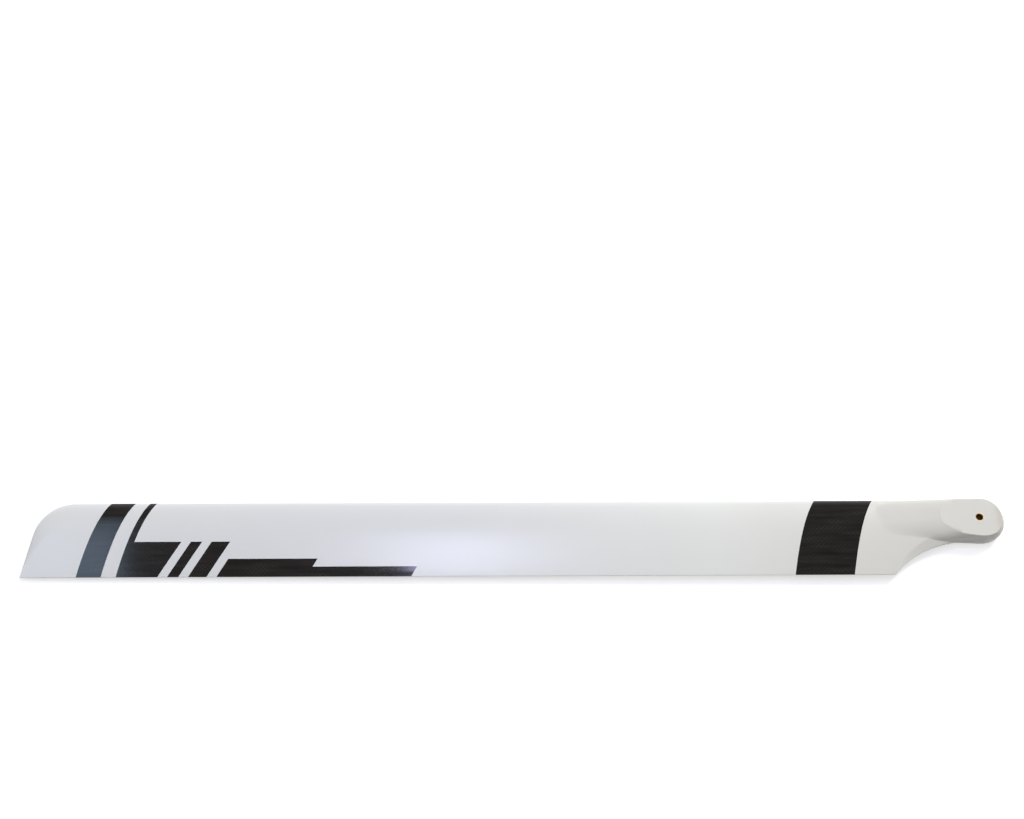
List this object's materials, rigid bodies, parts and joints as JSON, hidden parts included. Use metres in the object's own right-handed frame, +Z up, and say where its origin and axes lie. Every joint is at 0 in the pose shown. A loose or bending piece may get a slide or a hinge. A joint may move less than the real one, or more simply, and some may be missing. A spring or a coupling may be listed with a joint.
{
  "type": "model helicopter rotor blade",
  "caption": "Main rotor blade of a model helicopter: symmetric airfoil, raked tip with a rounded leading corner, and a flat-faced root with a brass bush for the blade bolt.",
  "frame": {"origin": "centre of the bolt hole, half way between the two flat faces of the root", "axes": "+X along the blade toward its tip, +Y toward the trailing edge, +Z up along the bolt hole"},
  "size_m": [0.7091, 0.0588, 0.014],
  "materials": {
    "gelcoat": "white gelcoat over carbon cloth, with bare carbon bands under clear coat",
    "brass": "turned"
  },
  "bodies": {
    "root": {"blade": "gelcoat", "root_bush": "brass"}
  },
  "joints": []
}
